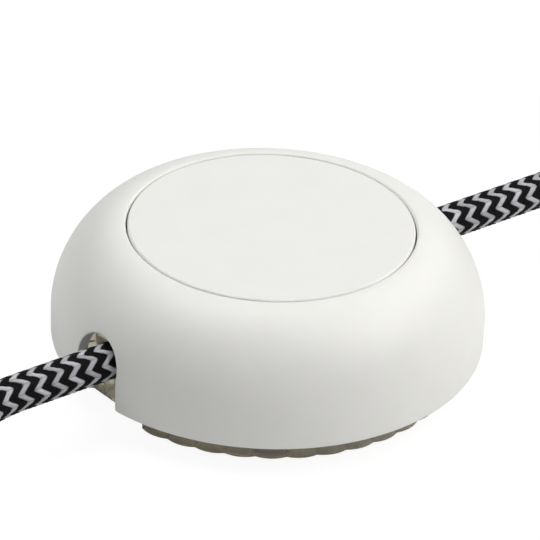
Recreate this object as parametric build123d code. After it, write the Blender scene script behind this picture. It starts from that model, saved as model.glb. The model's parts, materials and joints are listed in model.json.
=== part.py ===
from build123d import *
from math import cos, pi, radians, sin, tan
import os

os.makedirs("parts", exist_ok=True)

# Inline cord dimmer. Millimetres, +Z up, X along the line through both cord ports,
# origin on the floor under the middle of the housing.

# Housing
overall_height = 28.0
shell_radius = 40.0
shell_widest_z = 9.3
shell_edge_z = 5.9
shell_edge_inset = 0.7
shell_wall = 2.2
foot_lift = 0.6

# Push disc
button_radius = 26.1
button_gap = 0.35
button_top_thickness = 2.0
button_skirt_wall = 1.6
button_travel = 1.5
stop_lip = 1.8
stop_height = 1.5
stop_clearance = 0.3
collar_wall = 1.8
collar_depth = 3.7
hub_radius = 4.2
rib_depth = 2.5
rib_thickness = 1.2
rib_count = 6
button_edge_radius = 0.4

# Base and its scalloped rim
lobe_count = 40
lobe_first_angle = 6.3
rim_inset = 5.3
lobe_depth = 0.7
base_floor = 2.0
rim_wall = 2.2
rim_edge_chamfer = 0.5
spigot_clearance = 0.4
spigot_gap = 0.4
spigot_thickness = 2.2

# Cord ports
cord_radius = 3.35
cord_axis_z = 13.2
cord_skew = 4.1
port_width = 11.0
port_top_z = 18.35
port_corner_radius = 0.8
rim_gap_width = 12.7

# Cord saddles and clamps
saddle_face_inset = 2.0
saddle_length = 8.0
saddle_width = 18.6
saddle_clearance = 0.25
clamp_length = 6.4
clamp_thickness = 4.0
clamp_gap = 0.6
clamp_screw_offset = 6.6
clamp_screw_length = 10.0
clamp_edge_radius = 1.0
port_wall = 2.0

# Guide posts and springs
guide_radius = 20.0
guide_first_angle = 90.0
guide_count = 3
post_radius = 3.0
post_top_z = 16.0
socket_depth = 8.0
pin_radius = 1.4
pin_clearance = 0.35
pin_engagement = 4.0
spring_wire_radius = 0.28
spring_radius = 2.3
spring_turns = 4
spring_seat_gap = 0.05

# Housing screws
screw_angle = 28.0
screw_wall_inset = 2.8
boss_radius = 3.0
base_boss_height = 1.4
screw_radius = 1.25
screw_head_radius = 2.6
screw_head_height = 1.5
screw_length = 12.0
hole_clearance = 0.1
counterbore_depth = 1.9
slot_width = 0.8
small_slot_width = 0.6

# Feet
foot_angle = 51.6
foot_wall_inset = 2.3
foot_radius = 4.0
foot_recess = 1.0
foot_clearance = 0.1

# Circuit board
board_z = 8.0
board_thickness = 1.6
board_wall_gap = 0.8
board_saddle_gap = 1.2
board_cutout_clearance = 0.6
board_screw_inset = 3.5
board_screw_angles = (140.0, 222.0, 318.0)
board_rest_angle = 75.0
standoff_radius = 3.0
board_screw_radius = 1.1
board_screw_head_radius = 2.2
board_screw_head_height = 1.3
board_screw_length = 6.0
standoff_floor = 0.5

# Push switch
switch_size = 12.0
switch_height = 7.3
switch_corner = 0.8
plunger_radius = 1.9
plunger_height = 3.6
plunger_depth = 3.0
plunger_bore_clearance = 0.3

# Terminal blocks
terminal_length = 8.0
terminal_width = 11.0
terminal_height = 10.0
terminal_gap = 2.9
terminal_pitch = 5.0
terminal_bore_radius = 1.35
terminal_screw_radius = 1.5
terminal_screw_height = 1.6
terminal_screw_recess = 0.6
terminal_entry_depth = 6.0

# Cores
core_radius = 1.05
core_pitch = 2.5
core_start_gap = 0.2

# Board components
fuse_length = 20.0
fuse_radius = 2.6
fuse_cap_length = 5.0
fuse_x = 11.5
fuse_y = 9.7
fuse_lift = 0.8
fuse_cap_wall = 0.35
clip_wall = 0.4
clip_foot_width = 2.0
choke_x = -10.5
choke_y = 15.5
choke_core_radius = 6.6
choke_core_bore = 3.2
choke_core_height = 6.0
choke_wire_radius = 0.55
choke_turns = 16
choke_wound_angle = 300.0
choke_winding_gap = 0.06
capacitor_x = 12.0
capacitor_y = 17.1
capacitor_length = 15.0
capacitor_width = 7.0
capacitor_height = 10.5
capacitor_edge = 0.6
can_x = 7.0
can_y = -14.0
can_radius = 4.0
can_height = 10.4
can_groove_radius = 0.4
can_groove_z = 1.5
sink_y = -22.0
sink_length = 26.0
sink_thickness = 1.6
sink_height = 10.4
sink_fin_length = 4.0
sink_hole_radius = 1.5
sink_screw_radius = 1.4
sink_screw_head_radius = 2.3
sink_screw_head_height = 1.2
triac_x = -5.0
triac_width = 10.0
triac_height = 8.4
triac_depth = 4.4
triac_lift = 1.6
triac_lead_width = 0.8
triac_lead_pitch = 2.54
triac_edge = 0.6
chip_x = -6.5
chip_y = -10.5
chip_length = 6.0
chip_width = 4.0
chip_height = 1.5
chip_lead_count = 4
chip_lift = 0.15
chip_lead_width = 0.45
chip_lead_reach = 1.0
chip_lead_thickness = 0.4

# Coils of the spare cord
coil_radius = 33.5
coil_layers = 2
coil_edge = 2.0
mains_coil_centre = (-131.5, -4.4)
mains_coil_columns = 2
mains_lead_start = 90.0
mains_lead_sweep = 60.0
mains_lead_turn = 120.0
lamp_coil_centre = (137.8, 5.6)
lamp_coil_columns = 1
lamp_lead_start = 146.0
lamp_lead_sweep = 86.0
lamp_lead_turn = 90.0
lead_radius = 27.0
lead_sink = 0.4
tie_width = 8.0
tie_thickness = 0.9
tie_bite = 0.3
mains_tie_angle = 140.0
lamp_tie_angle = 215.0

# Mains plug
relief_length = 20.0
relief_end_radius = 3.8
grip_length = 15.0
grip_width = 19.0
grip_rear_width = 12.0
grip_thickness = 11.0
grip_edge_radius = 3.0
neck_thickness = 10.0
nose_length = 9.0
nose_width = 35.0
nose_flat_width = 26.0
plug_thickness = 13.6
plug_edge_radius = 0.8
plug_pin_radius = 2.0
plug_pin_length = 19.0
plug_pin_spacing = 18.6
pin_root = 3.0
pin_root_radius = 1.5

# Bare lamp end
end_core_length = 24.0
end_core_spread = 3.0
ferrule_radius = 0.75
ferrule_length = 8.0

# Sizes that follow from those above
opening_radius = button_radius + button_gap
base_z = foot_lift
floor_top_z = base_z + base_floor
shell_edge_radius = shell_radius - shell_edge_inset
shell_inner_edge = shell_edge_radius - shell_wall
collar_z = overall_height - collar_depth
stop_z = collar_z - stop_clearance
skirt_z = stop_z - stop_height
stop_radius = opening_radius + stop_lip - button_gap
button_under_z = overall_height - button_top_thickness
rib_z = button_under_z - rib_depth
spigot_z = shell_edge_z + spigot_gap
spigot_top_z = spigot_z + spigot_thickness
spigot_radius = shell_inner_edge - spigot_clearance
lobe_tip_radius = shell_radius - rim_inset
notch_radius = lobe_tip_radius - lobe_depth
rim_inner = notch_radius - rim_wall
screw_circle = rim_inner - screw_wall_inset
foot_circle = rim_inner - foot_wall_inset
saddle_face_x = lobe_tip_radius - saddle_face_inset
saddle_inner_x = saddle_face_x - saddle_length
clamp_x = saddle_face_x - clamp_length / 2
board_radius = rim_inner - board_wall_gap
board_half_length = saddle_inner_x - board_saddle_gap
board_screw_circle = board_radius - board_screw_inset
board_top_z = board_z + board_thickness
boss_z = floor_top_z + base_boss_height
switch_top_z = board_top_z + switch_height
plunger_top_z = switch_top_z + plunger_height
terminal_end = saddle_inner_x - terminal_gap
terminal_x = terminal_end - terminal_length / 2
terminal_top_z = board_top_z + terminal_height
cord_end_x = saddle_inner_x + cord_radius / 2
tan_skew = tan(radians(cord_skew))


def upright(radius, low, high, x=0.0, y=0.0):
    return Pos(x, y, (low + high) / 2) * Cylinder(radius, high - low)


def block(x, y, length, width, low, high):
    return Pos(x, y, (low + high) / 2) * Box(length, width, high - low)


def polar(radius, angle):
    return radius * cos(radians(angle)), radius * sin(radians(angle))


def screw_places():
    x, y = polar(screw_circle, screw_angle)
    return [(x, y), (-x, y), (-x, -y), (x, -y)]


def foot_places():
    x, y = polar(foot_circle, foot_angle)
    return [(x, y), (-x, y), (-x, -y), (x, -y)]


def guide_places():
    step = 360 / guide_count
    return [polar(guide_radius, guide_first_angle + k * step) for k in range(guide_count)]


def dome(inset):
    """Solid of the housing's outer form, moved inwards by inset, without its edge."""
    centre = (opening_radius, shell_widest_z)
    high = overall_height - inset
    wide = shell_radius - inset
    low_radius = shell_edge_radius - inset
    side = EllipticalCenterArc(
        centre, wide - opening_radius, high - shell_widest_z, start_angle=0, arc_size=90
    )
    foot = TangentArc((wide, shell_widest_z), (low_radius, shell_edge_z), tangent=(0, -1))
    rest = Polyline((low_radius, shell_edge_z), (0, shell_edge_z), (0, high), (opening_radius, high))
    return revolve(Plane.XZ * make_face([side, foot, rest]), Axis.Z)


def port_cutter():
    """Arched slot along X, open below, with its lower corners eased outwards."""
    half = port_width / 2
    spring_z = port_top_z - half
    low = shell_edge_z - 1
    corner_z = shell_edge_z + port_corner_radius
    slot = Pos(0, (low + spring_z) / 2) * Rectangle(port_width, spring_z - low)
    slot += Pos(0, spring_z) * Circle(half)
    flare_width = port_width + 2 * port_corner_radius
    flare = Pos(0, (low + corner_z) / 2) * Rectangle(flare_width, corner_z - low)
    for side in (-1, 1):
        flare -= Pos(side * flare_width / 2, corner_z) * Circle(port_corner_radius)
    return extrude(Plane.YZ * (slot + flare), amount=shell_radius + 1)


def upper_shell():
    inner = dome(shell_wall)
    shell = dome(0)
    collar = upright(opening_radius + collar_wall, collar_z, overall_height)
    bosses = upright(boss_radius, boss_z, overall_height, *screw_places()[0])
    for x, y in screw_places()[1:]:
        bosses += upright(boss_radius, boss_z, overall_height, x, y)
    shell -= inner - (collar & inner)
    pressed_z = skirt_z - button_travel - stop_clearance
    bosses -= upright(stop_radius + stop_clearance, pressed_z, collar_z)
    shell += bosses & dome(shell_wall / 2)
    shell -= upright(opening_radius, pressed_z, overall_height + 1)
    rim = shell.edges().filter_by(GeomType.CIRCLE).group_by(Axis.Z)[-1]
    shell = fillet(rim, button_edge_radius)
    for x, y in screw_places():
        shell -= upright(screw_radius + hole_clearance, boss_z - 1, base_z + screw_length + 1, x, y)
    cutter = port_cutter()
    shell -= Pos(rim_inner, 0, 0) * cutter
    shell -= Rot(0, 0, 180) * Pos(rim_inner, 0, 0) * cutter
    return shell


def push_button():
    button = upright(button_radius, skirt_z, overall_height)
    button = fillet(button.edges().group_by(Axis.Z)[-1], button_edge_radius)
    button += upright(stop_radius, skirt_z, stop_z)
    button -= upright(button_radius - button_skirt_wall, skirt_z - 1, button_under_z)
    rib_length = button_radius - button_skirt_wall / 2
    for k in range(rib_count):
        rib = block(rib_length / 2, 0, rib_length, rib_thickness, rib_z, button_under_z)
        button += Rot(0, 0, k * 360 / rib_count) * rib
    button += upright(hub_radius, plunger_top_z, button_under_z)
    for x, y in guide_places():
        button += upright(post_radius, rib_z, button_under_z, x, y)
        button += upright(pin_radius, post_top_z - pin_engagement, button_under_z, x, y)
    return button


def button_springs():
    """Three compression springs, drawn as rings a pitch apart joined by a slanted turn."""
    low = post_top_z + spring_wire_radius + spring_seat_gap
    high = rib_z - spring_wire_radius - spring_seat_gap
    path = Helix((high - low) / spring_turns, high - low, spring_radius)
    start = Plane(path @ 0, z_dir=path % 0)
    coil = sweep(start * Circle(spring_wire_radius), path=path)
    return [Pos(x, y, low) * coil for x, y in guide_places()]


def lobed_outline(inset):
    """Closed outline of one arc per lobe, from notch to notch."""
    half = 180 / lobe_count
    arcs = []
    for k in range(lobe_count):
        middle = lobe_first_angle + k * 360 / lobe_count
        start = polar(notch_radius - inset, middle - half)
        tip = polar(lobe_tip_radius - inset, middle)
        end = polar(notch_radius - inset, middle + half)
        arcs.append(ThreePointArc(start, tip, end))
    return make_face(arcs)


def saddle(side):
    """Grip block under one cord, with its channel, end wall and screw holes."""
    x = side * (saddle_face_x - saddle_length / 2)
    body = block(x, 0, saddle_length, saddle_width, floor_top_z, cord_axis_z - clamp_gap)
    wall_x = side * (saddle_face_x - port_wall / 2)
    body += block(wall_x, 0, port_wall, rim_gap_width + port_wall, base_z, cord_axis_z - clamp_gap)
    channel = Cylinder(cord_radius + saddle_clearance, 4 * saddle_length, rotation=(0, 90, 0))
    body -= skewed(channel, side)
    for y in (-clamp_screw_offset, clamp_screw_offset):
        body -= upright(
            board_screw_radius + hole_clearance, floor_top_z + standoff_floor, cord_axis_z,
            side * clamp_x, y,
        )
    return body


def skewed(shape, side):
    """Put a shape that lies along X on the cord's axis at one port."""
    return Pos(side * shell_radius, 0, cord_axis_z) * Rot(0, 0, -cord_skew) * shape


def base_plate():
    top = extrude(Pos(0, 0, base_z + rim_edge_chamfer) * lobed_outline(0), spigot_z - base_z)
    low = loft([
        Pos(0, 0, base_z) * Circle(notch_radius - rim_edge_chamfer),
        Pos(0, 0, base_z + rim_edge_chamfer) * Circle(notch_radius),
    ])
    base = top + low
    base += upright(spigot_radius, spigot_z, spigot_top_z)
    base -= upright(rim_inner, floor_top_z, spigot_top_z + 1)
    gap_length = shell_radius
    for side in (-1, 1):
        x = side * (saddle_face_x + gap_length / 2)
        base -= block(x, 0, gap_length, rim_gap_width, base_z - 1, spigot_top_z + 1)
        base += saddle(side)
    for x, y in screw_places():
        base += upright(boss_radius + 1, floor_top_z, boss_z, x, y)
        base -= upright(screw_radius + 2 * hole_clearance, base_z - 1, boss_z + 1, x, y)
        base -= upright(screw_head_radius + 3 * hole_clearance, base_z - 1, base_z + counterbore_depth, x, y)
        base -= upright(boss_radius + spigot_clearance, boss_z, spigot_top_z + 1, x, y)
    for x, y in foot_places():
        base -= upright(foot_radius + foot_clearance, base_z - 1, base_z + foot_recess, x, y)
    for angle in board_screw_angles:
        x, y = polar(board_screw_circle, angle)
        base += upright(standoff_radius, floor_top_z, board_z, x, y)
        base -= upright(board_screw_radius + hole_clearance, floor_top_z + standoff_floor, board_z + 1, x, y)
    base += upright(standoff_radius, floor_top_z, board_z, *polar(board_screw_circle, board_rest_angle))
    for x, y in guide_places():
        base += upright(post_radius, floor_top_z, post_top_z, x, y)
        base -= upright(pin_radius + pin_clearance, post_top_z - socket_depth, post_top_z + 1, x, y)
    return base


def rubber_feet():
    feet = []
    for x, y in foot_places():
        foot = upright(foot_radius, 0, base_z + foot_recess, x, y)
        feet.append(chamfer(foot.edges().group_by(Axis.Z)[0], foot_lift / 2))
    return feet


def slotted_screw(radius, head_radius, head_height, length, slot_width):
    """Screw with its head's top face at z = 0 and its shank pointing down."""
    head = upright(head_radius, -head_height, 0)
    head = chamfer(head.edges().group_by(Axis.Z)[-1], head_height / 4)
    screw = head + upright(radius, -length, -head_height)
    return screw - block(0, 0, 2 * head_radius, slot_width, -head_height / 2, 1)


def base_screws():
    screw = slotted_screw(screw_radius, screw_head_radius, screw_head_height, screw_length, slot_width)
    head_z = base_z + counterbore_depth - screw_head_height
    return [Pos(x, y, head_z) * Rot(180, 0, 0) * screw for x, y in screw_places()]


def board_outline(radius, half_length):
    outline = Circle(radius) & Rectangle(2 * half_length, 2 * radius)
    for x, y in screw_places():
        outline -= Pos(x, y) * Circle(boss_radius + board_cutout_clearance)
    for x, y in guide_places():
        outline -= Pos(x, y) * Circle(post_radius + board_cutout_clearance)
    for angle in board_screw_angles:
        outline -= Pos(*polar(board_screw_circle, angle)) * Circle(board_screw_radius + hole_clearance)
    return outline


def circuit_board():
    return extrude(Pos(0, 0, board_z) * board_outline(board_radius, board_half_length), board_thickness)


def board_screws():
    screw = slotted_screw(
        board_screw_radius, board_screw_head_radius, board_screw_head_height, board_screw_length,
        small_slot_width,
    )
    head_z = board_top_z + board_screw_head_height
    places = [polar(board_screw_circle, angle) for angle in board_screw_angles]
    return [Pos(x, y, head_z) * screw for x, y in places]


def push_switch():
    body = block(0, 0, switch_size, switch_size, board_top_z, switch_top_z)
    body = chamfer(body.edges().filter_by(Axis.Z), switch_corner)
    bore = plunger_radius + plunger_bore_clearance
    bore_z = switch_top_z - plunger_depth - button_travel - plunger_bore_clearance
    return body - upright(bore, bore_z, switch_top_z + 1)


def switch_plunger():
    return upright(plunger_radius, switch_top_z - plunger_depth, plunger_top_z)


def terminal(side):
    body = block(
        side * terminal_x, 0, terminal_length, terminal_width, board_top_z, terminal_top_z
    )
    for y in (-terminal_pitch / 2, terminal_pitch / 2):
        entry = Pos(side * terminal_end, y, cord_axis_z) * Cylinder(
            terminal_bore_radius, 2 * terminal_entry_depth, rotation=(0, 90, 0)
        )
        body -= entry
        depth = terminal_screw_height + terminal_screw_recess
        body -= upright(
            terminal_screw_radius + hole_clearance, terminal_top_z - depth, terminal_top_z + 1,
            side * terminal_x, y,
        )
    return body


def terminal_screws():
    screws = []
    for side in (-1, 1):
        for y in (-terminal_pitch / 2, terminal_pitch / 2):
            high = terminal_top_z - terminal_screw_recess
            screw = upright(terminal_screw_radius, high - terminal_screw_height, high, side * terminal_x, y)
            slot_z = high - terminal_screw_height / 3
            slot = block(side * terminal_x, y, 2 * terminal_screw_radius, small_slot_width, slot_z, high + 1)
            screws.append(screw - slot)
    return screws


def rod(start, end, radius):
    """Round bar from one point to another."""
    line = Line(start, end)
    return sweep(Plane(line @ 0, z_dir=line % 0) * Circle(radius), path=line)


def cord_end(side):
    """Middle of the sheath's cut end inside the housing."""
    return Vector(side * cord_end_x, side * (shell_radius - cord_end_x) * tan_skew, cord_axis_z)


def cores(side):
    """Two insulated cores from the sheath's end into the terminal block."""
    end = cord_end(side)
    inwards = Vector(-side, 0, 0)
    bars = []
    for turn in (-1, 1):
        start = (end.X - side * core_start_gap, end.Y + turn * core_pitch / 2, end.Z)
        mouth = (side * terminal_end, turn * terminal_pitch / 2, cord_axis_z)
        stop = Vector(*mouth) + inwards * (terminal_length / 3)
        path = Wire([Spline(start, mouth, tangents=(inwards, inwards)), Line(mouth, stop)])
        bars.append(sweep(Plane(path @ 0, z_dir=path % 0) * Circle(core_radius), path=path))
    return bars


def clamp(side):
    """Bridge that presses the cord into its saddle."""
    low = cord_axis_z + clamp_gap
    high = low + clamp_thickness
    bar = block(side * clamp_x, 0, clamp_length, saddle_width, low, high)
    bar = fillet(bar.edges().filter_by(Axis.X).group_by(Axis.Z)[-1], clamp_edge_radius)
    channel = Cylinder(cord_radius + saddle_clearance, 4 * saddle_length, rotation=(0, 90, 0))
    bar -= skewed(channel, side)
    for y in (-clamp_screw_offset, clamp_screw_offset):
        bar -= upright(board_screw_radius + hole_clearance, low - 1, high + 1, side * clamp_x, y)
    return bar


def clamp_screws():
    high = cord_axis_z + clamp_gap + clamp_thickness + board_screw_head_height
    screw = slotted_screw(
        board_screw_radius, board_screw_head_radius, board_screw_head_height, clamp_screw_length,
        small_slot_width,
    )
    screws = []
    for side in (-1, 1):
        for y in (-clamp_screw_offset, clamp_screw_offset):
            screws.append(Pos(side * clamp_x, y, high) * screw)
    return screws


def fuse_axis_z():
    return board_top_z + fuse_lift + fuse_radius


def fuse_link():
    """Glass tube with a wider cap at each end."""
    lie = Pos(fuse_x, fuse_y, fuse_axis_z()) * Rot(0, 90, 0)
    link = lie * Cylinder(fuse_radius - fuse_cap_wall, fuse_length)
    for side in (-1, 1):
        place = side * (fuse_length - fuse_cap_length) / 2
        link += lie * Pos(0, 0, place) * Cylinder(fuse_radius, fuse_cap_length)
    return link


def fuse_clips():
    """Two sprung cradles that stand on the board."""
    clips = []
    for side in (-1, 1):
        x = fuse_x + side * (fuse_length - fuse_cap_length) / 2
        outer = fuse_radius + clip_wall
        clip = Pos(x, fuse_y, fuse_axis_z()) * Rot(0, 90, 0) * Cylinder(outer, fuse_cap_length - 1)
        clip -= Pos(x, fuse_y, fuse_axis_z()) * Rot(0, 90, 0) * Cylinder(fuse_radius, fuse_cap_length)
        clip -= block(x, fuse_y, fuse_cap_length, 2 * outer, fuse_axis_z() + fuse_radius / 2, terminal_top_z)
        clip += block(
            x, fuse_y, fuse_cap_length - 1, clip_foot_width, board_top_z, fuse_axis_z() - fuse_radius
        )
        clips.append(clip)
    return clips


def choke_core():
    low = board_top_z + 2 * choke_wire_radius
    core = upright(choke_core_radius, low, low + choke_core_height, choke_x, choke_y)
    return core - upright(choke_core_bore, low - 1, low + choke_core_height + 1, choke_x, choke_y)


def choke_winding():
    """Wire turns round the core, each a closed loop of square path."""
    low = board_top_z + choke_wire_radius
    high = low + choke_core_height + 2 * choke_wire_radius
    inner = choke_core_bore - choke_wire_radius - choke_winding_gap
    outer = choke_core_radius + choke_wire_radius
    loop = Pos((inner + outer) / 2, (low + high) / 2) * Rectangle(outer - inner, high - low)
    width = 2 * choke_wire_radius
    ring = Plane.XZ * (offset(loop, choke_wire_radius) - offset(loop, -choke_wire_radius))
    turn = extrude(ring, width / 2, both=True)
    angles = [k * choke_wound_angle / (choke_turns - 1) for k in range(choke_turns)]
    turns = [Pos(choke_x, choke_y, 0) * Rot(0, 0, angle) * turn for angle in angles]
    wound = turns[0]
    for other in turns[1:]:
        wound += other
    return wound


def suppression_capacitor():
    body = block(
        capacitor_x, capacitor_y, capacitor_length, capacitor_width,
        board_top_z, board_top_z + capacitor_height,
    )
    return fillet(body.edges().filter_by(Axis.Z), capacitor_edge)


def storage_capacitor():
    can = upright(can_radius, board_top_z, board_top_z + can_height, can_x, can_y)
    can = fillet(can.edges().group_by(Axis.Z)[-1], can_groove_radius)
    groove = Pos(can_x, can_y, board_top_z + can_groove_z) * Torus(can_radius, can_groove_radius)
    return can - groove


def heat_sink():
    """Upright plate with its two ends folded back."""
    low = board_top_z
    high = low + sink_height
    plate = block(0, sink_y, sink_length, sink_thickness, low, high)
    for side in (-1, 1):
        x = side * (sink_length - sink_thickness) / 2
        y = sink_y + sink_fin_length / 2
        plate += block(x, y, sink_thickness, sink_fin_length, low, high)
    hole_z = triac_screw_z()
    hole = Pos(triac_x, sink_y, hole_z) * Rot(90, 0, 0) * Cylinder(sink_hole_radius, 4 * sink_thickness)
    return plate - hole


def triac_screw_z():
    return board_top_z + triac_lift + triac_height * 0.7


def triac_back_y():
    return sink_y + sink_thickness / 2


def power_triac():
    y = triac_back_y() + triac_depth / 2
    low = board_top_z + triac_lift
    body = block(triac_x, y, triac_width, triac_depth, low, low + triac_height)
    body = chamfer(body.edges().filter_by(Axis.Z).group_by(Axis.Y)[-1], triac_edge)
    for k in (-1, 0, 1):
        x = triac_x + k * triac_lead_pitch
        body += block(x, y, triac_lead_width, triac_lead_width, board_top_z, low)
    hole = Pos(triac_x, y, triac_screw_z()) * Rot(90, 0, 0) * Cylinder(sink_hole_radius, 2 * triac_depth)
    return body - hole


def heat_sink_screw():
    length = sink_screw_head_height + triac_depth + sink_thickness
    screw = slotted_screw(
        sink_screw_radius, sink_screw_head_radius, sink_screw_head_height, length, small_slot_width
    )
    y = triac_back_y() + triac_depth + sink_screw_head_height
    return Pos(triac_x, y, triac_screw_z()) * Rot(-90, 0, 0) * screw


def control_chip():
    low = board_top_z + chip_lift
    chip = block(chip_x, chip_y, chip_length, chip_width, low, low + chip_height)
    pitch = chip_length / chip_lead_count
    for k in range(chip_lead_count):
        x = chip_x + (k - (chip_lead_count - 1) / 2) * pitch
        width = chip_width + 2 * chip_lead_reach
        chip += block(x, chip_y, chip_lead_width, width, board_top_z, low + chip_lead_thickness)
    return chip


def corner_radii(points):
    """Largest tangent arc that each corner's two runs leave room for."""
    radii = []
    for before, corner, after in zip(points, points[1:], points[2:]):
        into = Vector(*corner) - Vector(*before)
        out = Vector(*after) - Vector(*corner)
        half_turn = radians(into.get_angle(out)) / 2
        radii.append(0.45 * min(into.length, out.length) / tan(half_turn))
    return radii


def tube(name, points, radius):
    """Plain round cord along straight runs and tangent arcs."""
    radii = corner_radii(points)
    path = FilletPolyline(*points, radius=radii)
    cord = sweep(Plane(path @ 0, z_dir=path % 0) * Circle(radius), path=path)
    share = cord.volume / (pi * radius**2 * path.length)
    bends = [round(r, 1) for r in radii]
    print(name, "radii", bends, "length", round(path.length, 1), "share", round(share, 4))
    return cord


def along(side, distance, z):
    """Point on the straight line of one cord, a distance beyond the shell."""
    return (side * (shell_radius + distance), -side * distance * tan_skew, z)


# Routes of the cords where they are not coiled
floor_z = cord_radius
mains_route = [
    tuple(cord_end(-1)),
    along(-1, 24.0, cord_axis_z),
    (-79.4, -2.7, 9.1),
    (-92.3, -12.1, 4.4),
    (-101.0, -25.0, floor_z),
]
lamp_route = [
    tuple(cord_end(1)),
    along(1, 33.0, cord_axis_z),
    (88.4, 2.0, 9.1),
    (101.3, 11.4, 4.4),
    (110.0, 24.3, floor_z),
]


def coil_top_z():
    return coil_layers * 2 * cord_radius


def lead_z():
    return coil_top_z() + cord_radius - lead_sink


def outer_column(columns):
    return coil_radius + (columns - 1) * cord_radius


def coil(centre, columns, start, sweep_angle, turn):
    """Ring of the stacked turns, with the end of the cord lying on top of it."""
    place = Pos(*centre, 0)
    width = 2 * cord_radius * columns
    section = Pos(coil_radius, coil_top_z() / 2) * RectangleRounded(width, coil_top_z(), coil_edge)
    ring = place * revolve(Plane.XZ * section, Axis.Z)
    outer = outer_column(columns)
    wire = Plane.XZ * Pos(outer, lead_z()) * Circle(cord_radius)
    ring += place * Rot(0, 0, start - sweep_angle) * revolve(wire, Axis.Z, sweep_angle)
    leaving = start - sweep_angle
    shift = outer - lead_radius
    bend = Plane.XZ * Pos(lead_radius, lead_z()) * Circle(cord_radius)
    bend = Rot(0, 0, leaving - turn) * revolve(bend, Axis.Z, turn)
    ring += place * Pos(*polar(shift, leaving), 0) * bend
    return ring


def lead_end(centre, columns, start, sweep_angle, turn):
    """Where the cord on top of the coil ends, and its heading in degrees."""
    leaving = start - sweep_angle
    shift_x, shift_y = polar(outer_column(columns) - lead_radius, leaving)
    end_x, end_y = polar(lead_radius, leaving - turn)
    heading = leaving - turn - 90
    return centre[0] + shift_x + end_x, centre[1] + shift_y + end_y, heading


def coil_tie(centre, columns, angle):
    """Strap that squeezes the turns a little and is let into them at the floor."""
    width = 2 * (cord_radius * columns - tie_bite)
    high = coil_top_z() - tie_bite
    outer = Pos(coil_radius, (high + tie_thickness) / 2) * RectangleRounded(
        width + 2 * tie_thickness, high + tie_thickness, coil_edge
    )
    inner = Pos(coil_radius, (high + tie_thickness) / 2) * RectangleRounded(
        width, high - tie_thickness, coil_edge - tie_thickness
    )
    span = tie_width / coil_radius * 180 / pi
    band = revolve(Plane.XZ * (outer - inner), Axis.Z, span)
    return Pos(*centre, 0) * Rot(0, 0, angle - span / 2) * band


def plug_place():
    x, y, heading = lead_end(
        mains_coil_centre, mains_coil_columns, mains_lead_start, mains_lead_sweep, mains_lead_turn
    )
    return Pos(x, y, 0) * Rot(0, 0, heading)


def plug_axis_z():
    return coil_top_z() + plug_thickness / 2


def across_plug(x, z):
    return Plane((x, 0, z), x_dir=(0, 1, 0), z_dir=(1, 0, 0))


def plug_section(x, z, width, thickness, radius):
    return across_plug(x, z) * RectangleRounded(width, thickness, radius)


def plug_body():
    """Flat two-pin plug with a tapered tail where the cord enters."""
    axis_z = plug_axis_z()
    entry_z = coil_top_z() + relief_end_radius
    entry = across_plug(0, entry_z) * Circle(relief_end_radius)
    neck = across_plug(relief_length, axis_z) * Circle(neck_thickness / 2)
    tail = loft([entry, neck])
    rear = plug_section(relief_length, axis_z, grip_rear_width, neck_thickness, neck_thickness / 2.5)
    front = plug_section(relief_length + grip_length, axis_z, grip_width, grip_thickness, grip_edge_radius)
    grip = loft([rear, front])
    start = relief_length + grip_length
    half = nose_width / 2
    flat = nose_flat_width / 2
    high = plug_thickness / 2
    corners = [(half, 0), (flat, high), (-flat, high), (-half, 0), (-flat, -high), (flat, -high)]
    nose = extrude(across_plug(start, axis_z) * make_face(Polyline(*corners, close=True)), nose_length)
    nose = fillet(nose.edges(), plug_edge_radius)
    body = tail + grip + nose
    for place in pin_bars():
        body -= place
    return plug_place() * body


def pin_bars():
    """The two round pins with their narrower roots in the nose, in the plug's own place."""
    start = relief_length + grip_length + nose_length
    bars = []
    for side in (-1, 1):
        place = Pos(start, side * plug_pin_spacing / 2, plug_axis_z()) * Rot(0, 90, 0)
        bar = place * Pos(0, 0, plug_pin_length / 2) * Cylinder(plug_pin_radius, plug_pin_length)
        bar = fillet(bar.edges().group_by(Axis.X)[-1], plug_pin_radius / 2)
        bar += place * Pos(0, 0, -pin_root / 2) * Cylinder(pin_root_radius, pin_root)
        bars.append(bar)
    return bars


def plug_pins():
    return [plug_place() * bar for bar in pin_bars()]


def bare_end():
    """Place of the lamp cord's cut end, X pointing on along the cores."""
    x, y, heading = lead_end(
        lamp_coil_centre, lamp_coil_columns, lamp_lead_start, lamp_lead_sweep, lamp_lead_turn
    )
    return Pos(x, y, 0) * Rot(0, 0, heading)


def core_line(turn):
    start = Vector(core_start_gap, turn * core_pitch / 2, lead_z())
    end = Vector(end_core_length, turn * end_core_spread, lead_z())
    return start, end


def lamp_end_cores():
    return [bare_end() * rod(*core_line(turn), core_radius) for turn in (-1, 1)]


def end_ferrules():
    sleeves = []
    for turn in (-1, 1):
        start, end = core_line(turn)
        tip = end + (end - start).normalized() * ferrule_length
        sleeves.append(bare_end() * rod(end, tip, ferrule_radius))
    return sleeves


def write(node, shape):
    solids = shape if isinstance(shape, list) else [shape]
    group = []
    for solid in solids:
        group.extend(solid.solids())
    body = group[0] if len(group) == 1 else Compound(children=group)
    export_step(body, f"parts/{node}.step")


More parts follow.
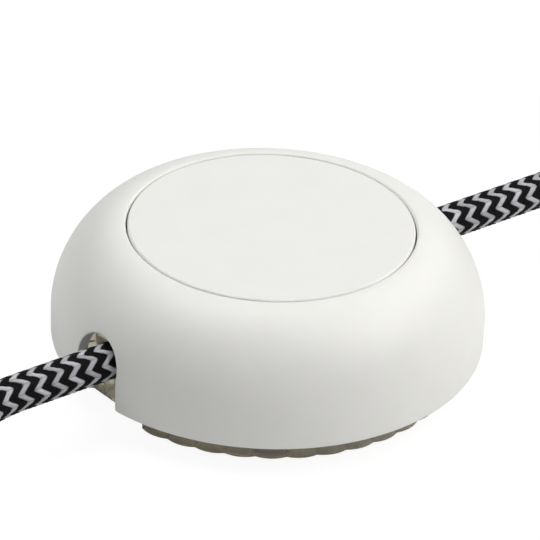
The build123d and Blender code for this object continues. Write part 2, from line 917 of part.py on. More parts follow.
def main():
    write("upper_shell", upper_shell())
    write("push_button", push_button())
    write("button_springs", button_springs())
    write("base_plate", base_plate())
    write("rubber_feet", rubber_feet())
    write("base_screws", base_screws())
    write("circuit_board", circuit_board())
    write("board_screws", board_screws())
    write("push_switch", push_switch())
    write("switch_plunger", switch_plunger())
    write("mains_terminal", terminal(-1))
    write("lamp_terminal", terminal(1))
    write("terminal_screws", terminal_screws())
    write("mains_cores", cores(-1))
    write("lamp_cores", cores(1))
    write("mains_clamp", clamp(-1))
    write("lamp_clamp", clamp(1))
    write("clamp_screws", clamp_screws())
    write("fuse_link", fuse_link())
    write("fuse_clips", fuse_clips())
    write("choke_core", choke_core())
    write("choke_winding", choke_winding())
    write("suppression_capacitor", suppression_capacitor())
    write("storage_capacitor", storage_capacitor())
    write("heat_sink", heat_sink())
    write("power_triac", power_triac())
    write("heat_sink_screw", heat_sink_screw())
    write("control_chip", control_chip())
    mains_cord = tube("mains_cord", mains_route, cord_radius)
    lamp_cord = tube("lamp_cord", lamp_route, cord_radius)
    mains_tie = coil_tie(mains_coil_centre, mains_coil_columns, mains_tie_angle)
    lamp_tie = coil_tie(lamp_coil_centre, lamp_coil_columns, lamp_tie_angle)
    mains_coil = coil(
        mains_coil_centre, mains_coil_columns, mains_lead_start, mains_lead_sweep, mains_lead_turn
    )
    lamp_coil = coil(
        lamp_coil_centre, lamp_coil_columns, lamp_lead_start, lamp_lead_sweep, lamp_lead_turn
    )
    write("mains_cord", mains_cord)
    write("lamp_cord", lamp_cord)
    write("mains_coil", mains_coil - mains_tie - mains_cord)
    write("lamp_coil", lamp_coil - lamp_tie - lamp_cord)
    write("mains_tie", mains_tie)
    write("lamp_tie", lamp_tie)
    write("plug_body", plug_body())
    write("plug_pins", plug_pins())
    write("lamp_end_cores", lamp_end_cores())
    write("end_ferrules", end_ferrules())


main()
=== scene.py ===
import json
import math

import bmesh
import bpy
from mathutils import Matrix, Vector


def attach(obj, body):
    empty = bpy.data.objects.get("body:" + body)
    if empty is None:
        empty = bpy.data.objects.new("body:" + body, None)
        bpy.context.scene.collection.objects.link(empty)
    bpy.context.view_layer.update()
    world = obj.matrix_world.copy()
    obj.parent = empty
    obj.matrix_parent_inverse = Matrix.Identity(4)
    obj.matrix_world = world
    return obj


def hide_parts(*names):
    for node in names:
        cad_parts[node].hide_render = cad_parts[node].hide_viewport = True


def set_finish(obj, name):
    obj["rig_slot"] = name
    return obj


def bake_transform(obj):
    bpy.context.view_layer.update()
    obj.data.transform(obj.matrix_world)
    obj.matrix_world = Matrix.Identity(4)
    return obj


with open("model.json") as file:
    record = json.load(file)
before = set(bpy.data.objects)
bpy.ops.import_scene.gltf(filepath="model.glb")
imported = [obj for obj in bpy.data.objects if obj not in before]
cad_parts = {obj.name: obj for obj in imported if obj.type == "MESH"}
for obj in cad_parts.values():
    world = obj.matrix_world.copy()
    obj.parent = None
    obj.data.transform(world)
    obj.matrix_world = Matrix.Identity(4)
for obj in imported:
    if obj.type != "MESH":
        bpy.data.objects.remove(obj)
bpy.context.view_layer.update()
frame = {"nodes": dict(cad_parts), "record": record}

scene = bpy.context.scene
nodes = frame["nodes"]
mm = 0.001


def linear(hexText):
    values = []
    for k in (0, 2, 4):
        c = int(hexText[k:k + 2], 16) / 255
        values.append(c / 12.92 if c <= 0.04045 else ((c + 0.055) / 1.055) ** 2.4)
    return (*values, 1.0)


def newObject(name, data):
    obj = bpy.data.objects.new(name, data)
    scene.collection.objects.link(obj)
    return obj


def meshObject(name, points, faces, smooth=True, sharpAngle=35):
    mesh = bpy.data.meshes.new(name)
    mesh.from_pydata([tuple(p) for p in points], [], faces)
    mesh.validate()
    bm = bmesh.new()
    bm.from_mesh(mesh)
    bmesh.ops.remove_doubles(bm, verts=bm.verts, dist=1e-7)
    bmesh.ops.recalc_face_normals(bm, faces=bm.faces)
    bm.to_mesh(mesh)
    bm.free()
    mesh.polygons.foreach_set("use_smooth", [smooth] * len(mesh.polygons))
    if smooth:
        mesh.set_sharp_from_angle(angle=math.radians(sharpAngle))
    return newObject(name, mesh)


# Camera
cameraView = {
    "target": (0.0, 0.0, 14.19),   # mm, the middle of the housing
    "distance": 620.0,             # mm
    "azimuth": -41.5,              # degrees
    "elevation": 31.46,
    "roll": 2.53,
    "lens": 225.94,                # mm on a 36 mm sensor
    "shiftX": 0.0023,
    "shiftY": 0.0366,
}


def placeCamera(s):
    camera = newObject("camera", bpy.data.cameras.new("camera"))
    a, e = math.radians(s["azimuth"]), math.radians(s["elevation"])
    back = Vector((math.sin(a) * math.cos(e), -math.cos(a) * math.cos(e), math.sin(e)))
    target = Vector(s["target"]) * mm
    turn = (-back).to_track_quat("-Z", "Y").to_matrix().to_4x4()
    camera.matrix_world = (
        Matrix.Translation(target + back * s["distance"] * mm)
        @ turn
        @ Matrix.Rotation(math.radians(s["roll"]), 4, "Z")
    )
    camera.data.lens = s["lens"]
    camera.data.sensor_width = 36
    camera.data.shift_x = s["shiftX"]
    camera.data.shift_y = s["shiftY"]
    camera.data.clip_start = 0.01
    camera.data.clip_end = 20
    scene.camera = camera


placeCamera(cameraView)
print("camera placed")

# Cord routes, in mm as in the solids
cord = {
    "diameter": 6.7,
    "mainsRoute": [
        (-26.375, -0.977, 13.2), (-48.0, 0.574, 13.2), (-64.0, 1.72, 13.2),
        (-79.4, -2.7, 9.1), (-92.3, -12.1, 4.4), (-101.0, -25.0, 3.35),
    ],
    "lampRoute": [
        (26.375, 0.977, 13.2), (57.0, -1.219, 13.2), (73.0, -2.37, 13.2),
        (88.4, 2.0, 9.1), (101.3, 11.4, 4.4), (110.0, 24.3, 3.35),
    ],
    "mainsCentre": (-131.5, -4.4),
    "lampCentre": (137.8, 5.6),
    "mainsJoin": -34.0,            # degrees, where the cord meets its coil
    "lampJoin": 146.0,
    "layer": 6.7,                  # rise from one layer to the next
    "outerRadius": 36.85,
    "innerRadius": 30.15,
    "lampRadius": 33.5,
    "leadRadius": 27.0,            # last bend before the plug or the bare end
    "pointStep": 24.0,             # degrees between a coil's points
    "reachPower": 0.66,            # the spline runs inside its points, so they stand a little further out
    "mainsInward": (320, 372),     # degrees wound when the mains coil moves in, out and up a layer
    "mainsOutward": (1044, 1104),
    "mainsRises": ((664, 736), (1284, 1352)),
    "lampRises": ((250, 322), (640, 716)),
    "mainsWound": 1376.0,          # degrees in all, and the bend that the lead makes after them
    "mainsBend": 120.0,
    "lampWound": 806.0,
    "lampBend": 90.0,
}


def eased(t, low, high, start, end):
    u = min(max((t - low) / (high - low), 0.0), 1.0)
    return start + (end - start) * u * u * (3 - 2 * u)


def coilHeight(t, rises):
    level = sum(eased(t, *rise, 0.0, 1.0) for rise in rises)
    return cord["diameter"] / 2 + level * cord["layer"]


def mainsCoilAt(t):
    radius = eased(t, *cord["mainsInward"], cord["outerRadius"], cord["innerRadius"])
    radius += eased(t, *cord["mainsOutward"], 0.0, cord["outerRadius"] - cord["innerRadius"])
    return radius, coilHeight(t, cord["mainsRises"])


def lampCoilAt(t):
    return cord["lampRadius"], coilHeight(t, cord["lampRises"])


def coilPoints(centre, join, shapeAt, lastTurn, bend):
    points = []
    halfStep = math.radians(cord["pointStep"] / 2)
    count = round((lastTurn - cord["pointStep"]) / cord["pointStep"])
    for k in range(1, count + 1):
        t = lastTurn * k / (count + 1)
        radius, z = shapeAt(t)
        a = math.radians(join - t)
        reach = radius / math.cos(halfStep) ** cord["reachPower"]
        points.append((centre[0] + reach * math.cos(a), centre[1] + reach * math.sin(a), z))
    radius, z = shapeAt(lastTurn)
    leaving = math.radians(join - lastTurn)
    shift = radius - cord["leadRadius"]
    bx, by = centre[0] + shift * math.cos(leaving), centre[1] + shift * math.sin(leaving)
    steps = max(3, round(bend / cord["pointStep"]))
    for k in range(steps + 1):
        a = leaving - math.radians(bend * k / steps)
        points.append((bx + cord["leadRadius"] * math.cos(a), by + cord["leadRadius"] * math.sin(a), z))
    return points


def splineFrom(name, points):
    curve = bpy.data.curves.new(name, "CURVE")
    curve.dimensions = "3D"
    curve.resolution_u = 12
    spline = curve.splines.new("NURBS")
    spline.points.add(len(points) - 1)
    for place, point in zip(points, spline.points):
        point.co = (*[v * mm for v in place], 1.0)
    spline.order_u = 3
    spline.use_endpoint_u = True
    return curve


def readLine(name, points):
    guide = newObject(name, splineFrom(name, points))
    mesh = bpy.data.meshes.new_from_object(guide)
    line = [v.co.copy() for v in mesh.vertices]
    bpy.data.objects.remove(guide)
    bpy.data.meshes.remove(mesh)
    return line


def evenly(line, steps):
    lengths = [0.0]
    for a, b in zip(line, line[1:]):
        lengths.append(lengths[-1] + (b - a).length)
    places, k = [], 0
    for s in steps(lengths[-1]):
        while k < len(line) - 2 and lengths[k + 1] < s:
            k += 1
        u = (s - lengths[k]) / max(lengths[k + 1] - lengths[k], 1e-12)
        places.append((s, line[k].lerp(line[k + 1], min(max(u, 0.0), 1.0))))
    return places


mainsPoints = cord["mainsRoute"] + coilPoints(
    cord["mainsCentre"], cord["mainsJoin"], mainsCoilAt, cord["mainsWound"], cord["mainsBend"])
lampPoints = cord["lampRoute"] + coilPoints(
    cord["lampCentre"], cord["lampJoin"], lampCoilAt, cord["lampWound"], cord["lampBend"])
mainsLine = readLine("mainsGuide", mainsPoints)
lampLine = readLine("lampGuide", lampPoints)
print("cord routes", len(mainsPoints), len(lampPoints))

# Cords: a round braided cover over the two cores
braid = {
    "columns": 12,                 # yarn columns round the cord, leaning left and right by turns
    "mainsRepeat": 3.5,            # mm along the cord for one white and two black yarns
    "lampRepeat": 3.74,
    "whiteShare": 0.44,
    "slant": 0.535,                # share of a repeat that a yarn runs along the cord across its column
    "rounding": 0.5,               # how far the turns of the zigzag are rounded
    "relief": 0.34,                # mm from a yarn's crown down to the groove beside it
    "plainShare": 1 / 3,           # of the relief, how far the plain stretches lie below the crowns
    "endPower": 5,                 # how square a yarn's ends are
    "around": 72,
    "sharpAngle": 60,
    "fineStep": 0.3,               # mm between rings where the camera comes close
    "plainStep": 1.6,
    "mainsFine": 46.0,
    "lampFine": 56.0,
    "mainsTurn": 0.0089,           # share of a turn that the pattern is rolled about the cord
    "lampTurn": 0.075,
    "mainsStart": 0.37,            # repeats that the pattern is moved along the cord
    "lampStart": 0.138,
    "white": ("8f8f96", "f2f2f8"),
    "black": ("010102", "0b0b0e"),
    # painted shade: the colour darkens towards each yarn's sides and ends, in the groove between yarns
    "sideShade": {"From Max": 0.2, "To Min": 0.4},
    "endShade": {"From Max": 0.12, "To Min": 0.7},
    "toneShade": {"To Min": 0.68, "To Max": 1.0},
    "fibreStretch": (7.0, 1.3, 3.7),
    "fibreBump": 0.1,              # mm
    "fibreLift": 0.35,             # of the bump's height, how much the fibres add to the yarn's own form
    "bumpStrength": 0.6,
}


def braidHeight(repeats, u):
    b = braid
    column = u * b["columns"]
    lean = 1 - abs(column % 2 - 1)
    lean += b["rounding"] * (0.5 - 0.5 * math.cos(math.pi * lean) - lean)
    place = (repeats + b["slant"] * lean) % 1
    blackHalf = (1 - b["whiteShare"]) / 2
    if place < b["whiteShare"]:
        within = place / b["whiteShare"]
    else:
        within = ((place - b["whiteShare"]) / blackHalf) % 1
    v = column % 1
    crown = math.sqrt(max(0.0, 1 - (2 * within - 1) ** 2)) * (1 - abs(2 * v - 1) ** b["endPower"]) ** 0.5
    return b["relief"] * (crown - 1)


def ringSteps(fine):
    def steps(length):
        places, s = [], 0.0
        while s < length:
            places.append(s)
            s += (braid["fineStep"] if s < fine * mm else braid["plainStep"]) * mm
        if length - places[-1] < braid["fineStep"] * mm:
            places.pop()
        return places + [length]
    return steps


def braidedCord(name, line, fine, turn, start, repeat):
    places = evenly(line, ringSteps(fine))
    count = braid["around"]
    radius = cord["diameter"] / 2 * mm
    side = Vector((0, 0, 1))
    plainLift = -braid["relief"] * braid["plainShare"]
    points, faces, turns = [], [], []
    repeats = [s / mm / repeat + start for s, p in places]
    for k, (s, p) in enumerate(places):
        woven = s < fine * mm
        before, after = places[max(k - 1, 0)][1], places[min(k + 1, len(places) - 1)][1]
        ahead = (after - before).normalized()
        side = (side - ahead * side.dot(ahead)).normalized()
        across = ahead.cross(side)
        for i in range(count):
            a = 2 * math.pi * i / count
            lift = braidHeight(repeats[k], (i / count + turn) % 1) if woven else plainLift
            points.append(p + (side * math.cos(a) + across * math.sin(a)) * (radius + lift * mm))
    for k in range(len(places) - 1):
        for i in range(count):
            j = (i + 1) % count
            faces.append((k * count + i, k * count + j, (k + 1) * count + j, (k + 1) * count + i))
            turns.append((k, i))
    last = (len(places) - 1) * count
    faces.append(tuple(range(count))[::-1])
    faces.append(tuple(range(last, last + count)))
    mesh = bpy.data.meshes.new(name)
    mesh.from_pydata([tuple(p) for p in points], [], faces)
    layer = mesh.uv_layers.new(name="braid")
    for (k, i), polygon in zip(turns, mesh.polygons):
        u0, u1 = i / count + turn, (i + 1) / count + turn
        v0, v1 = repeats[k], repeats[k + 1]
        for loop, uv in zip(polygon.loop_indices, ((u0, v0), (u1, v0), (u1, v1), (u0, v1))):
            layer.data[loop].uv = uv
    mesh.polygons.foreach_set("use_smooth", [True] * len(mesh.polygons))
    mesh.set_sharp_from_angle(angle=math.radians(braid["sharpAngle"]))
    return newObject(name, mesh), [p for s, p in places]


mainsCord, mainsPath = braidedCord(
    "mainsCord", mainsLine, braid["mainsFine"], braid["mainsTurn"], braid["mainsStart"], braid["mainsRepeat"])
lampCord, lampPath = braidedCord(
    "lampCord", lampLine, braid["lampFine"], braid["lampTurn"], braid["lampStart"], braid["lampRepeat"])
for piece, body in ((mainsCord, "housing"), (lampCord, "housing")):
    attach(piece, body)
    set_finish(piece, "braided_textile")
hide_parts("mains_cord", "mains_coil")
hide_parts("lamp_cord", "lamp_coil")


def lengthOf(path):
    return sum((b - a).length for a, b in zip(path, path[1:]))


print("cords", round(lengthOf(mainsPath), 3), round(lengthOf(lampPath), 3))

# Upper shell: a dome whose skin is cut by the two arched cord ports
shell = {
    "opening": 26.4,               # mm
    "radius": 39.78,
    "widestZ": 10.8,
    "topZ": 28.0,
    "edgeZ": 5.75,
    "edgeInset": 0.02,
    "domePower": 1.83,             # 2 is an ellipse, less than 2 a flatter shoulder
    "wall": 2.2,
    "collarWall": 1.8,
    "collarZ": 24.3,
    "topRound": 0.4,
    "edgeRound": 0.5,
    "portHalf": 5.5,
    "portTop": 18.35,
    "portCorner": 0.8,
    "portRound": 0.25,
    "portTurn": -0.9,              # degrees that both ports are turned about the middle
    "portRowZ": 21.5,
    "portColumns": 12,
    "columns": 288,
    "domeRows": 18,
    "portRows": 20,
    "wallRows": 5,
    "edgeRows": 4,
    "innerRows": 8,
    "cutRows": 10,
    "cutSpread": 1.4,              # rows stand closer together towards the port's edge
    "portTilts": (30, 60, 90),     # degrees, the rows of the rounding round a port
    "openingLip": 0.3,             # plain wall between the opening's rounding and its next row
    "sharpAngle": 38,
    "bossPlace": (29.0, 28.0),     # mm from the middle, degrees
    "bossRadius": 3.0,
    "bossHole": 1.35,
    "bossHoleDepth": 10.0,
    "bossTip": 0.01,               # closes the boss inside the dome
    "bossColumns": 24,
    "bossZ": (4.0, 20.6),
}


def skinRadius(z, inset=0.0):
    s = shell
    wide = s["radius"] - inset
    if z >= s["widestZ"]:
        u = min((z - s["widestZ"]) / (s["topZ"] - inset - s["widestZ"]), 1.0)
        return s["opening"] + (wide - s["opening"]) * (1 - u ** s["domePower"]) ** (1 / s["domePower"])
    u = (s["widestZ"] - z) / (s["widestZ"] - s["edgeZ"])
    radius = wide - s["edgeInset"] * u * u
    low = s["edgeZ"] + s["edgeRound"] - z
    if inset == 0 and low > 0:
        radius += math.sqrt(max(s["edgeRound"] ** 2 - low ** 2, 0.0)) - s["edgeRound"]
    return radius


def skinHeight(radius, inset=0.0):
    s = shell
    u = (radius - s["opening"]) / (s["radius"] - inset - s["opening"])
    rise = s["topZ"] - inset - s["widestZ"]
    return s["widestZ"] + rise * (1 - u ** s["domePower"]) ** (1 / s["domePower"])


def portHalfWidth(z, grow):
    s = shell
    flare = s["portCorner"] - (z - s["edgeZ"])
    extra = s["portCorner"] - math.sqrt(max(s["portCorner"] ** 2 - flare ** 2, 0.0)) if flare > 0 else 0.0
    return s["portHalf"] + grow + extra


def buildShell():
    s = shell
    rise = s["topZ"] - s["widestZ"]
    portTilt = math.asin((s["portRowZ"] - s["widestZ"]) / rise)
    wallHeight = s["widestZ"] - s["edgeZ"] - s["edgeRound"]
    quarter = math.pi / 2 / s["edgeRows"]
    rows = [s["widestZ"] + rise * math.sin(portTilt * (1 - k / s["portRows"])) for k in range(s["portRows"])]
    rows += [s["widestZ"] - wallHeight * k / s["wallRows"] for k in range(s["wallRows"] + 1)]
    rows += [s["edgeZ"] + s["edgeRound"] * (1 - math.sin(quarter * k)) for k in range(1, s["edgeRows"] + 1)]
    upper = []
    firstRadius, lastRadius = s["opening"] + s["topRound"], skinRadius(s["portRowZ"])
    firstZ = skinHeight(firstRadius)
    for k in range(s["domeRows"]):
        radius = firstRadius + (lastRadius - firstRadius) * (k / s["domeRows"])
        upper.append((radius, skinHeight(radius)))
    collarOut = s["opening"] + s["collarWall"]
    collarTop = skinHeight(collarOut, s["wall"])
    opening = [(s["opening"], s["collarZ"]), (s["opening"], firstZ - s["topRound"] - s["openingLip"])]
    for k in range(s["edgeRows"]):
        a = quarter * k
        opening.append((
            s["opening"] + s["topRound"] * (1 - math.cos(a)), firstZ - s["topRound"] * (1 - math.sin(a))))
    innerTop = []
    for k in range(1, s["innerRows"]):
        z = s["portRowZ"] + (collarTop - s["portRowZ"]) * k / s["innerRows"]
        innerTop.append((skinRadius(z, s["wall"]), z))
    innerTop.append((collarOut, collarTop))
    crown = innerTop + [(collarOut, s["collarZ"])] + opening + upper
    points, faces = [], []

    def grid(rowsOfPoints, closed=False):
        first = len(points)
        wide = len(rowsOfPoints[0])
        for row in rowsOfPoints:
            points.extend(row)
        for k in range(len(rowsOfPoints) - 1):
            for i in range(wide if closed else wide - 1):
                j = (i + 1) % wide
                faces.append((first + k * wide + i, first + k * wide + j,
                              first + (k + 1) * wide + j, first + (k + 1) * wide + i))

    def spot(radius, angle, z):
        a = math.radians(angle + s["portTurn"])
        return Vector((radius * math.cos(a), radius * math.sin(a), z)) * mm

    step = 360 / s["columns"]
    ring = [k * step for k in range(s["columns"])]
    crown = [(skinRadius(rows[0], s["wall"]), rows[0])] + crown + [(skinRadius(rows[0]), rows[0])]
    grid([[spot(r, a, z) for a in ring] for r, z in crown], closed=True)
    span = s["portColumns"] * step
    sides = [(skinRadius(z), z) for z in rows] + [(skinRadius(z, s["wall"]), z) for z in rows[::-1]]
    for start in (0, 180):
        run = [start + span + k * step for k in range(round((180 - 2 * span) / step) + 1)]
        grid([[spot(r, a, z) for a in run] for r, z in sides])
    springZ = s["portTop"] - s["portHalf"]
    border = [(span, z) for z in rows[::-1]]
    border += [(k * step, rows[0]) for k in range(s["portColumns"] - 1, -1, -1)]
    straight = sum(z <= springZ for z in rows)
    arched = len(border) - straight

    def outline(grow):
        half = [(portHalfWidth(z, grow), z) for z in rows[::-1][:straight]]
        for k in range(arched):
            a = math.radians(90 * k / (arched - 1))
            reach = s["portHalf"] + grow
            half.append((reach * math.cos(a), springZ + reach * math.sin(a)))
        return half

    def mirrored(half):
        return half + [(-y, z) for y, z in half[-2::-1]]

    whole = mirrored(border)
    for turn in (0, 180):
        strips = []
        for inset in (0.0, s["wall"]):
            edge = mirrored(outline(s["portRound"] if inset == 0 else 0.0))
            strip = []
            for k in range(s["cutRows"] + 1):
                f = (k / s["cutRows"]) ** s["cutSpread"]
                row = []
                for (y, z), (a, bz) in zip(edge, whole):
                    angle = math.degrees(math.asin(y / skinRadius(z, inset)))
                    at = z + (bz - z) * f
                    row.append(spot(skinRadius(at, inset), turn + angle + (a - angle) * f, at))
                strip.append(row)
            strips.append(strip)
        rounding = []
        for tilt in s["portTilts"]:
            a = math.radians(tilt)
            grow = s["portRound"] * (1 - math.sin(a))
            depth = s["portRound"] * (1 - math.cos(a))
            row = []
            for y, z in mirrored(outline(grow)):
                radius = skinRadius(z)
                angle = math.degrees(math.asin(y / radius))
                row.append(spot(radius - depth, turn + angle, z))
            rounding.append(row)
        grid(strips[0][::-1] + rounding + strips[1])
        for end in (0, -1):
            lip = [[row[end] for row in strips[0][::-1] + rounding], [row[end] for row in strips[1][::-1]]]
            lip[1] += [lip[1][-1]] * (len(lip[0]) - len(lip[1]))
            grid(lip)
    bossAt, bossAngle = s["bossPlace"]
    for a in (bossAngle, 180 - bossAngle, 180 + bossAngle, -bossAngle):
        middle = spot(bossAt, a - s["portTurn"], 0)
        low, high = s["bossZ"]
        wall = [
            (s["bossHole"], low + s["bossHoleDepth"]), (s["bossHole"], low),
            (s["bossRadius"], low), (s["bossRadius"], high), (s["bossTip"], high),
        ]
        turns = [k * 360 / s["bossColumns"] for k in range(s["bossColumns"])]
        grid([[middle + spot(r, t, z) for t in turns] for r, z in wall], closed=True)
    return meshObject("upperShell", points, faces, sharpAngle=s["sharpAngle"])


upperShell = buildShell()
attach(upperShell, "housing")
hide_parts("upper_shell")
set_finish(upperShell, "white_shell")
print("upper shell", len(upperShell.data.polygons), "faces")

# Base: the tray's own form, with its lobes as wide as they show, and the rim open beside each port
base = {
    "notch": 34.0,                 # mm, radius of the solid's notches
    "depth": 0.7,
    "shownNotch": 35.01,
    "shownDepth": 0.55,
    "skirtZ": (1.05, 6.35),
    "footRing": 33.5,
    "shownFootRing": 34.0,
    "slack": 0.05,                 # mm, to tell which points belong to the rim
    "clearFrom": 6.0,              # mm beside the port's middle, where the rim is open
    "clearTo": 9.4,
    "clearX": (32.75, 40.0),
    "clearZ": (-1.0, 6.32),
    "sharpAngle": 32,
}


def buildBase():
    b = base
    mesh = nodes["base_plate"].data.copy()
    mesh.name = "basePlate"
    for v in mesh.vertices:
        r = math.hypot(v.co.x, v.co.y) / mm
        z = v.co.z / mm
        shown = r
        onLobe = b["notch"] - b["slack"] < r < b["notch"] + b["depth"] + b["slack"]
        if onLobe and b["skirtZ"][0] < z < b["skirtZ"][1]:
            shown = b["shownNotch"] + (r - b["notch"]) / b["depth"] * b["shownDepth"]
        elif z < b["skirtZ"][0] and abs(r - b["footRing"]) < b["slack"]:
            shown = b["shownFootRing"]
        v.co.x *= shown / r
        v.co.y *= shown / r
    mesh.materials.clear()
    piece = newObject("basePlate", mesh)
    for side in (-1, 1):
        x0, x1 = sorted((side * b["clearX"][0], side * b["clearX"][1]))
        y0, y1 = sorted((-side * b["clearFrom"], -side * b["clearTo"]))
        ring = ((x0, y0), (x1, y0), (x1, y1), (x0, y1))
        corners = [Vector((x, y, z)) * mm for z in b["clearZ"] for x, y in ring]
        sides = [(0, 3, 2, 1), (4, 5, 6, 7), (0, 1, 5, 4), (1, 2, 6, 5), (2, 3, 7, 6), (3, 0, 4, 7)]
        block = meshObject("clearance", corners, sides, smooth=False)
        cut = piece.modifiers.new("clearance", "BOOLEAN")
        cut.operation = "DIFFERENCE"
        cut.solver = "EXACT"
        cut.object = block
        cutMesh = bpy.data.meshes.new_from_object(piece.evaluated_get(bpy.context.evaluated_depsgraph_get()))
        piece.modifiers.clear()
        piece.data = cutMesh
        bpy.data.objects.remove(block)
    piece.data.name = "basePlate"
    piece.data.polygons.foreach_set("use_smooth", [True] * len(piece.data.polygons))
    piece.data.set_sharp_from_angle(angle=math.radians(b["sharpAngle"]))
    return piece


basePlate = buildBase()
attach(basePlate, "housing")
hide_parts("base_plate")
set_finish(basePlate, "smoked_base")
print("base", len(basePlate.data.polygons), "faces")

# Springs: the solids' own coils, with their feet on the posts and their tops under the disc
springMesh = nodes["button_springs"].data.copy()
springMesh.name = "springCoils"
springMesh.materials.clear()
springCoils = newObject("springCoils", springMesh)
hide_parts("button_springs")
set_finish(springCoils, "spring_steel")
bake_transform(springCoils)
print("springs", len(springMesh.polygons), "faces")


# Materials
def add(tree, kind, settings=None, links=None):
    node = tree.nodes.new(kind)
    for key, value in (settings or {}).items():
        if isinstance(key, int):
            node.inputs[key].default_value = value
        elif key in node.inputs:
            socketOf(node, key).default_value = value
        else:
            setattr(node, key, value)
    for key, source in (links or {}).items():
        tree.links.new(source, node.inputs[key] if isinstance(key, int) else socketOf(node, key))
    return node


def socketOf(node, name, out=False):
    # a Mix node has a set of sockets for each kind of data, and only the set in use is enabled
    sockets = node.outputs if out else node.inputs
    return next(s for s in sockets if s.name == name and s.enabled)


def newMaterial(name, settings):
    material = bpy.data.materials.new(name)
    material.use_nodes = True
    tree = material.node_tree
    surface = tree.nodes["Principled BSDF"]
    for key, value in settings.items():
        surface.inputs[key].default_value = value
    return material, tree, surface


def grain(tree, surface, size, depth, low, high, patch=6.0):
    # fine moulded texture as bump, and a slow drift of colour over the piece
    place = add(tree, "ShaderNodeTexCoord")
    fine = add(tree, "ShaderNodeTexNoise", {"Scale": 1 / (size * mm), "Detail": 3.0, "Roughness": 0.6},
               {"Vector": place.outputs["Object"]})
    bump = add(tree, "ShaderNodeBump", {"Strength": 1.0, "Distance": depth * mm},
               {"Height": fine.outputs["Fac"]})
    slow = add(tree, "ShaderNodeTexNoise", {"Scale": 1 / (patch * mm), "Detail": 2.0},
               {"Vector": place.outputs["Object"]})
    shade = add(tree, "ShaderNodeMix", {"data_type": "RGBA"}, {"Factor": slow.outputs["Fac"]})
    socketOf(shade, "A").default_value = linear(low)
    socketOf(shade, "B").default_value = linear(high)
    tree.links.new(socketOf(shade, "Result", out=True), surface.inputs["Base Color"])
    tree.links.new(bump.outputs["Normal"], surface.inputs["Normal"])
    return place, fine, slow, shade


def mouldedPlastic(name, low, high, roughness, size=0.35, depth=0.01, **sockets):
    settings = {"Roughness": roughness, "IOR": 1.5}
    settings.update(sockets)
    material, tree, surface = newMaterial(name, settings)
    grain(tree, surface, size, depth, low, high)
    return material


# finishes, by the names of the record's slots
finish = {
    # ABS, injection moulded in a lightly etched tool: smooth warm white with a broad soft highlight
    "white_shell": mouldedPlastic("whiteAbs", "f2f2ee", "f6f6f3", 0.46, size=0.4, depth=0.006),
    # the same ABS from a slightly duller tool face: the disc reads flat and a shade cooler than the shell
    "white_button": mouldedPlastic("whiteAbsFineGrain", "f0f0ee", "f4f4f2", 0.52, size=0.3, depth=0.008),
    # nitrile rubber, pressed: matt near black with a dusty grain
    "black_rubber": mouldedPlastic("nitrileRubber", "1d1b18", "2a2722", 0.78, size=0.5, depth=0.02),
    # epoxy glass laminate under green solder lacquer: dark green with a low gloss and a faint weave
    "board_laminate": mouldedPlastic("lacqueredEpoxyGlass", "24502d", "336b40", 0.35, size=0.6, depth=0.01),
    # filled epoxy, transfer moulded: even charcoal with soft edges to its highlights
    "black_moulding": mouldedPlastic("blackEpoxyMoulding", "18181a", "222224", 0.55),
    # nylon, injection moulded: warm grey, slightly waxy
    "grey_moulding": mouldedPlastic("greyNylon", "a9a698", "b8b5a7", 0.5),
    # soft PVC, extruded over the wire: off-white with long even highlights
    "white_core": mouldedPlastic("softPvcInsulation", "dcdcd6", "e9e9e4", 0.4, size=0.8, depth=0.01),
    # ferrite, pressed and fired: dull grey-black with a fine rough skin
    "ferrite": mouldedPlastic("sinteredFerrite", "2e2f31", "414245", 0.7, size=0.2, depth=0.02),
    # polyester box filled with resin: mustard yellow, half gloss
    "film_capacitor": mouldedPlastic("yellowPolyesterBox", "b88f1d", "cfa52c", 0.4),
    # PVC sleeve shrunk on a can: dark blue and rather glossy
    "sleeved_can": mouldedPlastic("shrinkSleeve", "232c46", "2d3959", 0.3),
    # PVC, moulded over the plug's pins: deep black with a satin skin
    "plug_moulding": mouldedPlastic("mouldedPvc", "131314", "1d1d1f", 0.5, size=0.5, depth=0.012),
    # nylon tape, woven: black with a coarse, light-catching rib
    "tie_textile": mouldedPlastic("wovenNylonTape", "121213", "242425", 0.85, size=0.25, depth=0.06),
}


def metal(name, low, high, roughness, size=0.6, depth=0.004):
    material, tree, surface = newMaterial(name, {"Metallic": 1.0, "Roughness": roughness})
    grain(tree, surface, size, depth, low, high, patch=2.0)
    return material


finish.update({
    # steel, zinc plated: cool grey with a blurred shine
    "zinc_steel": metal("zincPlatedSteel", "9fa19d", "b9bbb8", 0.35),
    # spring wire, drawn: darker grey, brighter along the wire
    "spring_steel": metal("drawnSpringWire", "8f9090", "a5a6a6", 0.3),
    # brass, stamped and tinned: pale yellow that shows through a thin grey coat
    "tinned_brass": metal("tinnedBrass", "a8966a", "c2b083", 0.32),
    # copper wire in baked enamel: red-brown and glossy
    "enamelled_copper": metal("enamelledCopperWire", "8c4423", "b8632f", 0.3),
    # aluminium sheet, bent: light grey, evenly dull
    "sink_aluminium": metal("bentAluminiumSheet", "aeb1b3", "c6c9cb", 0.38),
    # brass, turned and nickel plated: bright, sharp reflections on the pins
    "plated_pin": metal("nickelPlatedBrass", "bdbec0", "d4d5d6", 0.18),
    # copper sleeve, tinned and crimped: silver-grey, softly shiny
    "tinned_copper": metal("tinnedCopperSleeve", "b4b5b5", "cfd0d0", 0.28),
})


def smokedPolycarbonate():
    # polycarbonate with a beige-grey tint, moulded: the eye sees the feet dimly through the rim,
    # and a soft shine along the lobes
    material, tree, surface = newMaterial("smokedPolycarbonate", {
        "Roughness": 0.08, "IOR": 1.5, "Transmission Weight": 0.7,
        "Coat Weight": 0.6, "Coat Roughness": 0.08})
    grain(tree, surface, 0.9, 0.006, "fff4da", "fffaea", patch=4.0)
    return material


